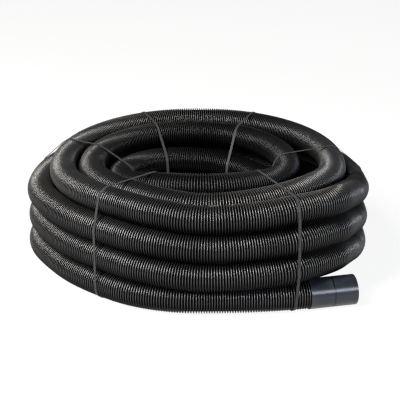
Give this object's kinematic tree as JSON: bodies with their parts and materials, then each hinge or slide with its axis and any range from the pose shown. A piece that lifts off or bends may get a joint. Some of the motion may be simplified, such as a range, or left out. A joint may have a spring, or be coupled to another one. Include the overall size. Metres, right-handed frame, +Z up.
{
  "type": "twinwall cable duct",
  "caption": "Strapped coil of black corrugated twinwall cable duct with a smooth push-fit coupler on its outer end.",
  "frame": {"origin": "centre of the coil on the floor that it lies on", "axes": "+Z up along the coil's axis, -Y towards the side that carries the coupler, +X to the right of it"},
  "size_m": [0.8056, 0.8091, 0.263],
  "materials": {
    "duct_plastic": "black corrugated polyethylene with a soft sheen and light scuffs",
    "coupler_plastic": "smooth moulded black polyethylene, semi-gloss",
    "strap_plastic": "dark grey polypropylene band"
  },
  "bodies": {
    "root": {"duct": "duct_plastic", "core": "duct_plastic", "coupler": "coupler_plastic", "strap_1": "strap_plastic", "strap_2": "strap_plastic", "strap_3": "strap_plastic", "strap_4": "strap_plastic", "strap_5": "strap_plastic", "strap_6": "strap_plastic"}
  },
  "joints": []
}
